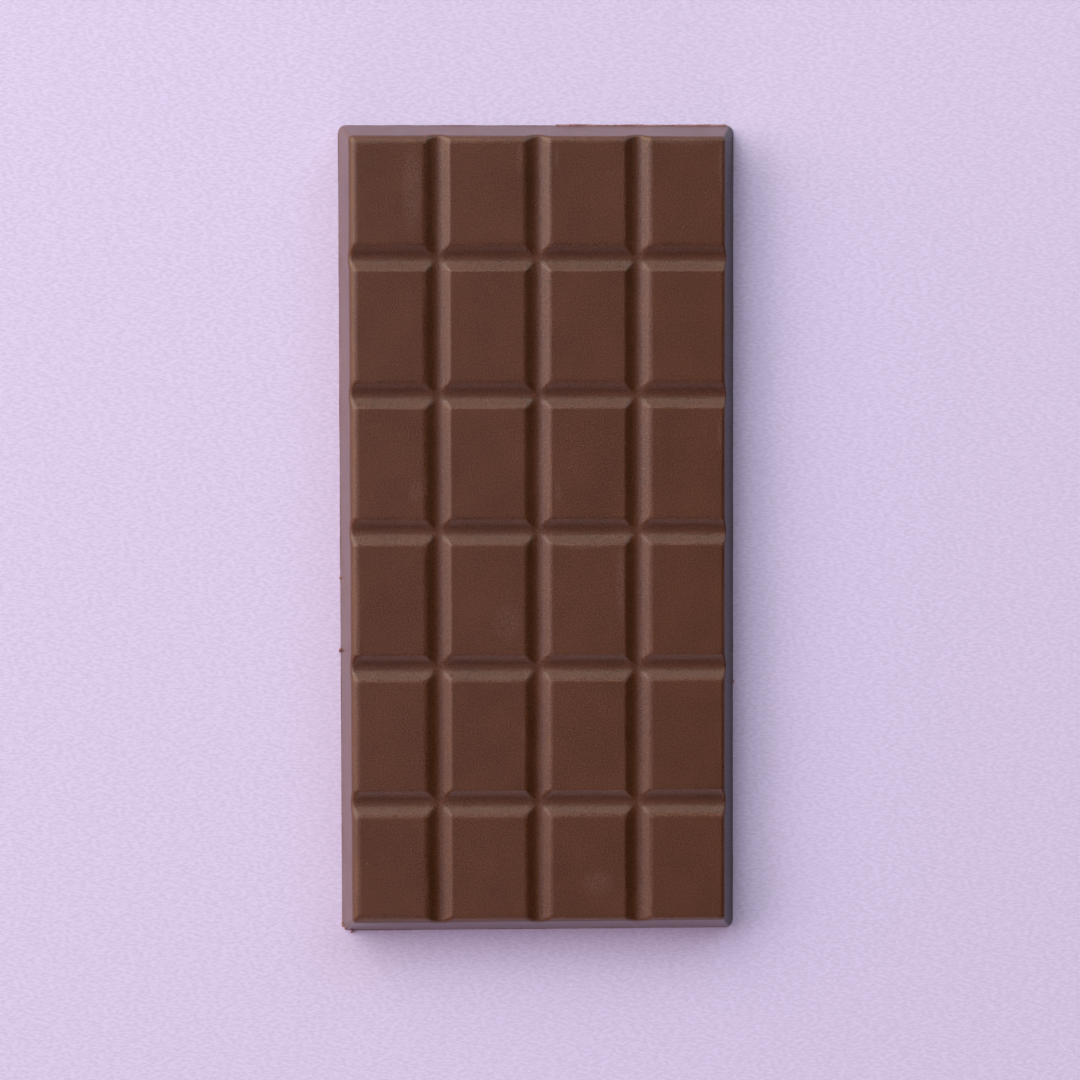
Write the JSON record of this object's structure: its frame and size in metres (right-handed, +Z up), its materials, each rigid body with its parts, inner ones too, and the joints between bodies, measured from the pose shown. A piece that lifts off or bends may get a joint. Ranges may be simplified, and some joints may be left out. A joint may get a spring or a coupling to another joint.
{
  "type": "chocolate bar",
  "caption": "Flat oblong bar of milk chocolate with leaning sides, scored on top into snap-off pieces by round-bottomed grooves.",
  "frame": {"origin": "middle of the flat underside", "axes": "+Z up out of the grooved face, +Y along the bar's length, +X across its width"},
  "size_m": [0.077, 0.1574, 0.0075],
  "materials": {
    "milk_chocolate": "satin milk chocolate, smooth from the mould, with faint mottling"
  },
  "bodies": {
    "root": {"chocolate_bar": "milk_chocolate"}
  },
  "joints": []
}
